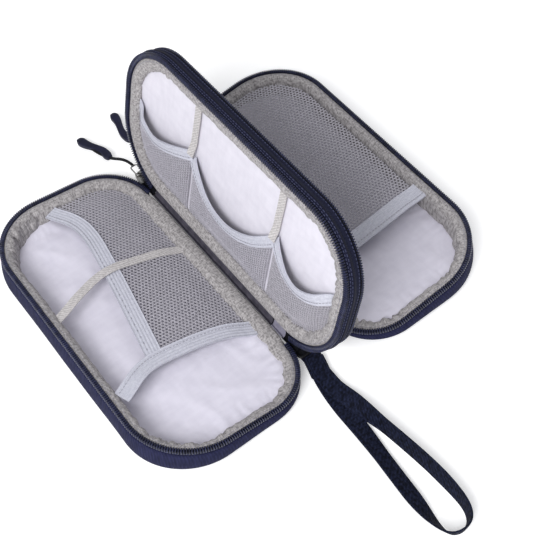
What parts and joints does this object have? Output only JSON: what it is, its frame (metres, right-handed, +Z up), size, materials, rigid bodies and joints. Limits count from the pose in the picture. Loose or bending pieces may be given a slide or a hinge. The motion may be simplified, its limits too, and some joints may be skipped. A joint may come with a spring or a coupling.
{
  "type": "cable organizer pouch",
  "caption": "Soft rounded-rectangle travel pouch for cables: shallow padded trays and a stiff pocket leaf open like a book around zipped rims, with a wrist strap.",
  "frame": {"origin": "on the surface the pouch lies on, at the bottom centre of the open pouch without its strap and pull cords", "axes": "+X across the spine from the front tray to the rear tray, +Y along the spine from the wrist strap to the zip pulls, +Z up"},
  "size_m": [0.222, 0.3349, 0.1006],
  "materials": {
    "navy_twill": "twill-woven polyester, dark navy",
    "dark_piping": "folded bias binding",
    "navy_coil": "moulded nylon coil",
    "navy_tape": "herringbone zip tape",
    "grey_heather": "heathered grey padded binding",
    "satin_lining": "satin polyester lining",
    "grey_net": "hexagonal-hole polyester net",
    "lavender_elastic": "ribbed elastic",
    "grey_ribbon": "woven ribbon",
    "foam_board": "EVA foam board",
    "grip_rubber": "soft moulded rubber",
    "nickel_metal": "plated zinc",
    "black_cord": "braided cord",
    "navy_webbing": "flat polyester webbing",
    "black_plastic": "moulded acetal"
  },
  "bodies": {
    "middle_leaf": {"front_hinge_strip": "grey_heather", "front_slider": "nickel_metal", "leaf_board": "foam_board", "leaf_front_band": "grey_heather", "leaf_front_chain": "navy_coil", "leaf_front_lining": "satin_lining", "leaf_front_tape": "navy_tape", "leaf_gusset": "navy_twill", "leaf_rear_band": "grey_heather", "leaf_rear_chain": "navy_coil", "leaf_rear_lining": "satin_lining", "leaf_rear_tape": "navy_tape", "leaf_welt": "dark_piping", "pocket_elastic_far": "lavender_elastic", "pocket_elastic_middle": "lavender_elastic", "pocket_elastic_near": "lavender_elastic", "pocket_elastic_rear": "lavender_elastic", "pocket_net_far": "grey_net", "pocket_net_middle": "grey_net", "pocket_net_near": "grey_net", "pocket_net_rear": "grey_net", "pocket_ribbon_far": "grey_ribbon", "pocket_ribbon_near": "grey_ribbon", "rear_slider": "nickel_metal", "spine_panel": "navy_twill", "spine_web": "grey_heather", "strap": "navy_webbing", "strap_ring": "black_plastic", "strap_tab": "navy_webbing"},
    "front_tray": {"front_band": "grey_heather", "front_board": "foam_board", "front_chain": "navy_coil", "front_cover": "navy_twill", "front_holder": "lavender_elastic", "front_lining": "satin_lining", "front_net": "grey_net", "front_net_elastic": "lavender_elastic", "front_piping": "dark_piping", "front_ribbon": "grey_ribbon", "front_tape": "navy_tape", "front_wall": "navy_twill"},
    "rear_gusset": {"rear_hinge_roll": "grey_heather", "rear_gusset_strip": "grey_heather"},
    "rear_tray": {"rear_band": "grey_heather", "rear_board": "foam_board", "rear_chain": "navy_coil", "rear_cover": "navy_twill", "rear_lining": "satin_lining", "rear_net": "grey_net", "rear_net_elastic": "lavender_elastic", "rear_piping": "dark_piping", "rear_tape": "navy_tape", "rear_wall": "navy_twill"},
    "front_pull": {"front_bail": "nickel_metal", "front_pull_cord": "black_cord", "front_grip": "grip_rubber"},
    "rear_pull": {"rear_bail": "nickel_metal", "rear_pull_cord": "black_cord", "rear_grip": "grip_rubber"}
  },
  "joints": [
    {"name": "front_tray_hinge", "type": "hinge", "parent": "middle_leaf", "child": "front_tray", "pos_m": [-0.0135, 0, 0.008], "axis": [0, 1, 0], "range_deg": [0, 96]},
    {"name": "rear_tray_hinge", "type": "hinge", "parent": "middle_leaf", "child": "rear_gusset", "pos_m": [-0.00135, 0, 0.00587], "axis": [0, -1, 0], "range_deg": [0, 68.3]},
    {"name": "rear_tray_draw_in", "type": "slide", "parent": "rear_gusset", "child": "rear_tray", "axis": [-0.9906, 0, -0.1366], "range_m": [0, 0.0133], "deforming": ["rear_gusset_strip"]},
    {"name": "front_pull_swing", "type": "hinge", "parent": "middle_leaf", "child": "front_pull", "pos_m": [-0.0096, 0.0814, 0.0055], "axis": [1, 0, 0], "range_deg": [0, 30]},
    {"name": "rear_pull_swing", "type": "hinge", "parent": "middle_leaf", "child": "rear_pull", "pos_m": [0.0025, 0.0844, 0.0055], "axis": [1, 0, 0], "range_deg": [0, 30]}
  ],
  "couplings": [
    {"joint": "rear_tray_draw_in", "follows": "rear_tray_hinge", "m_per_rad": 0.011157}
  ]
}
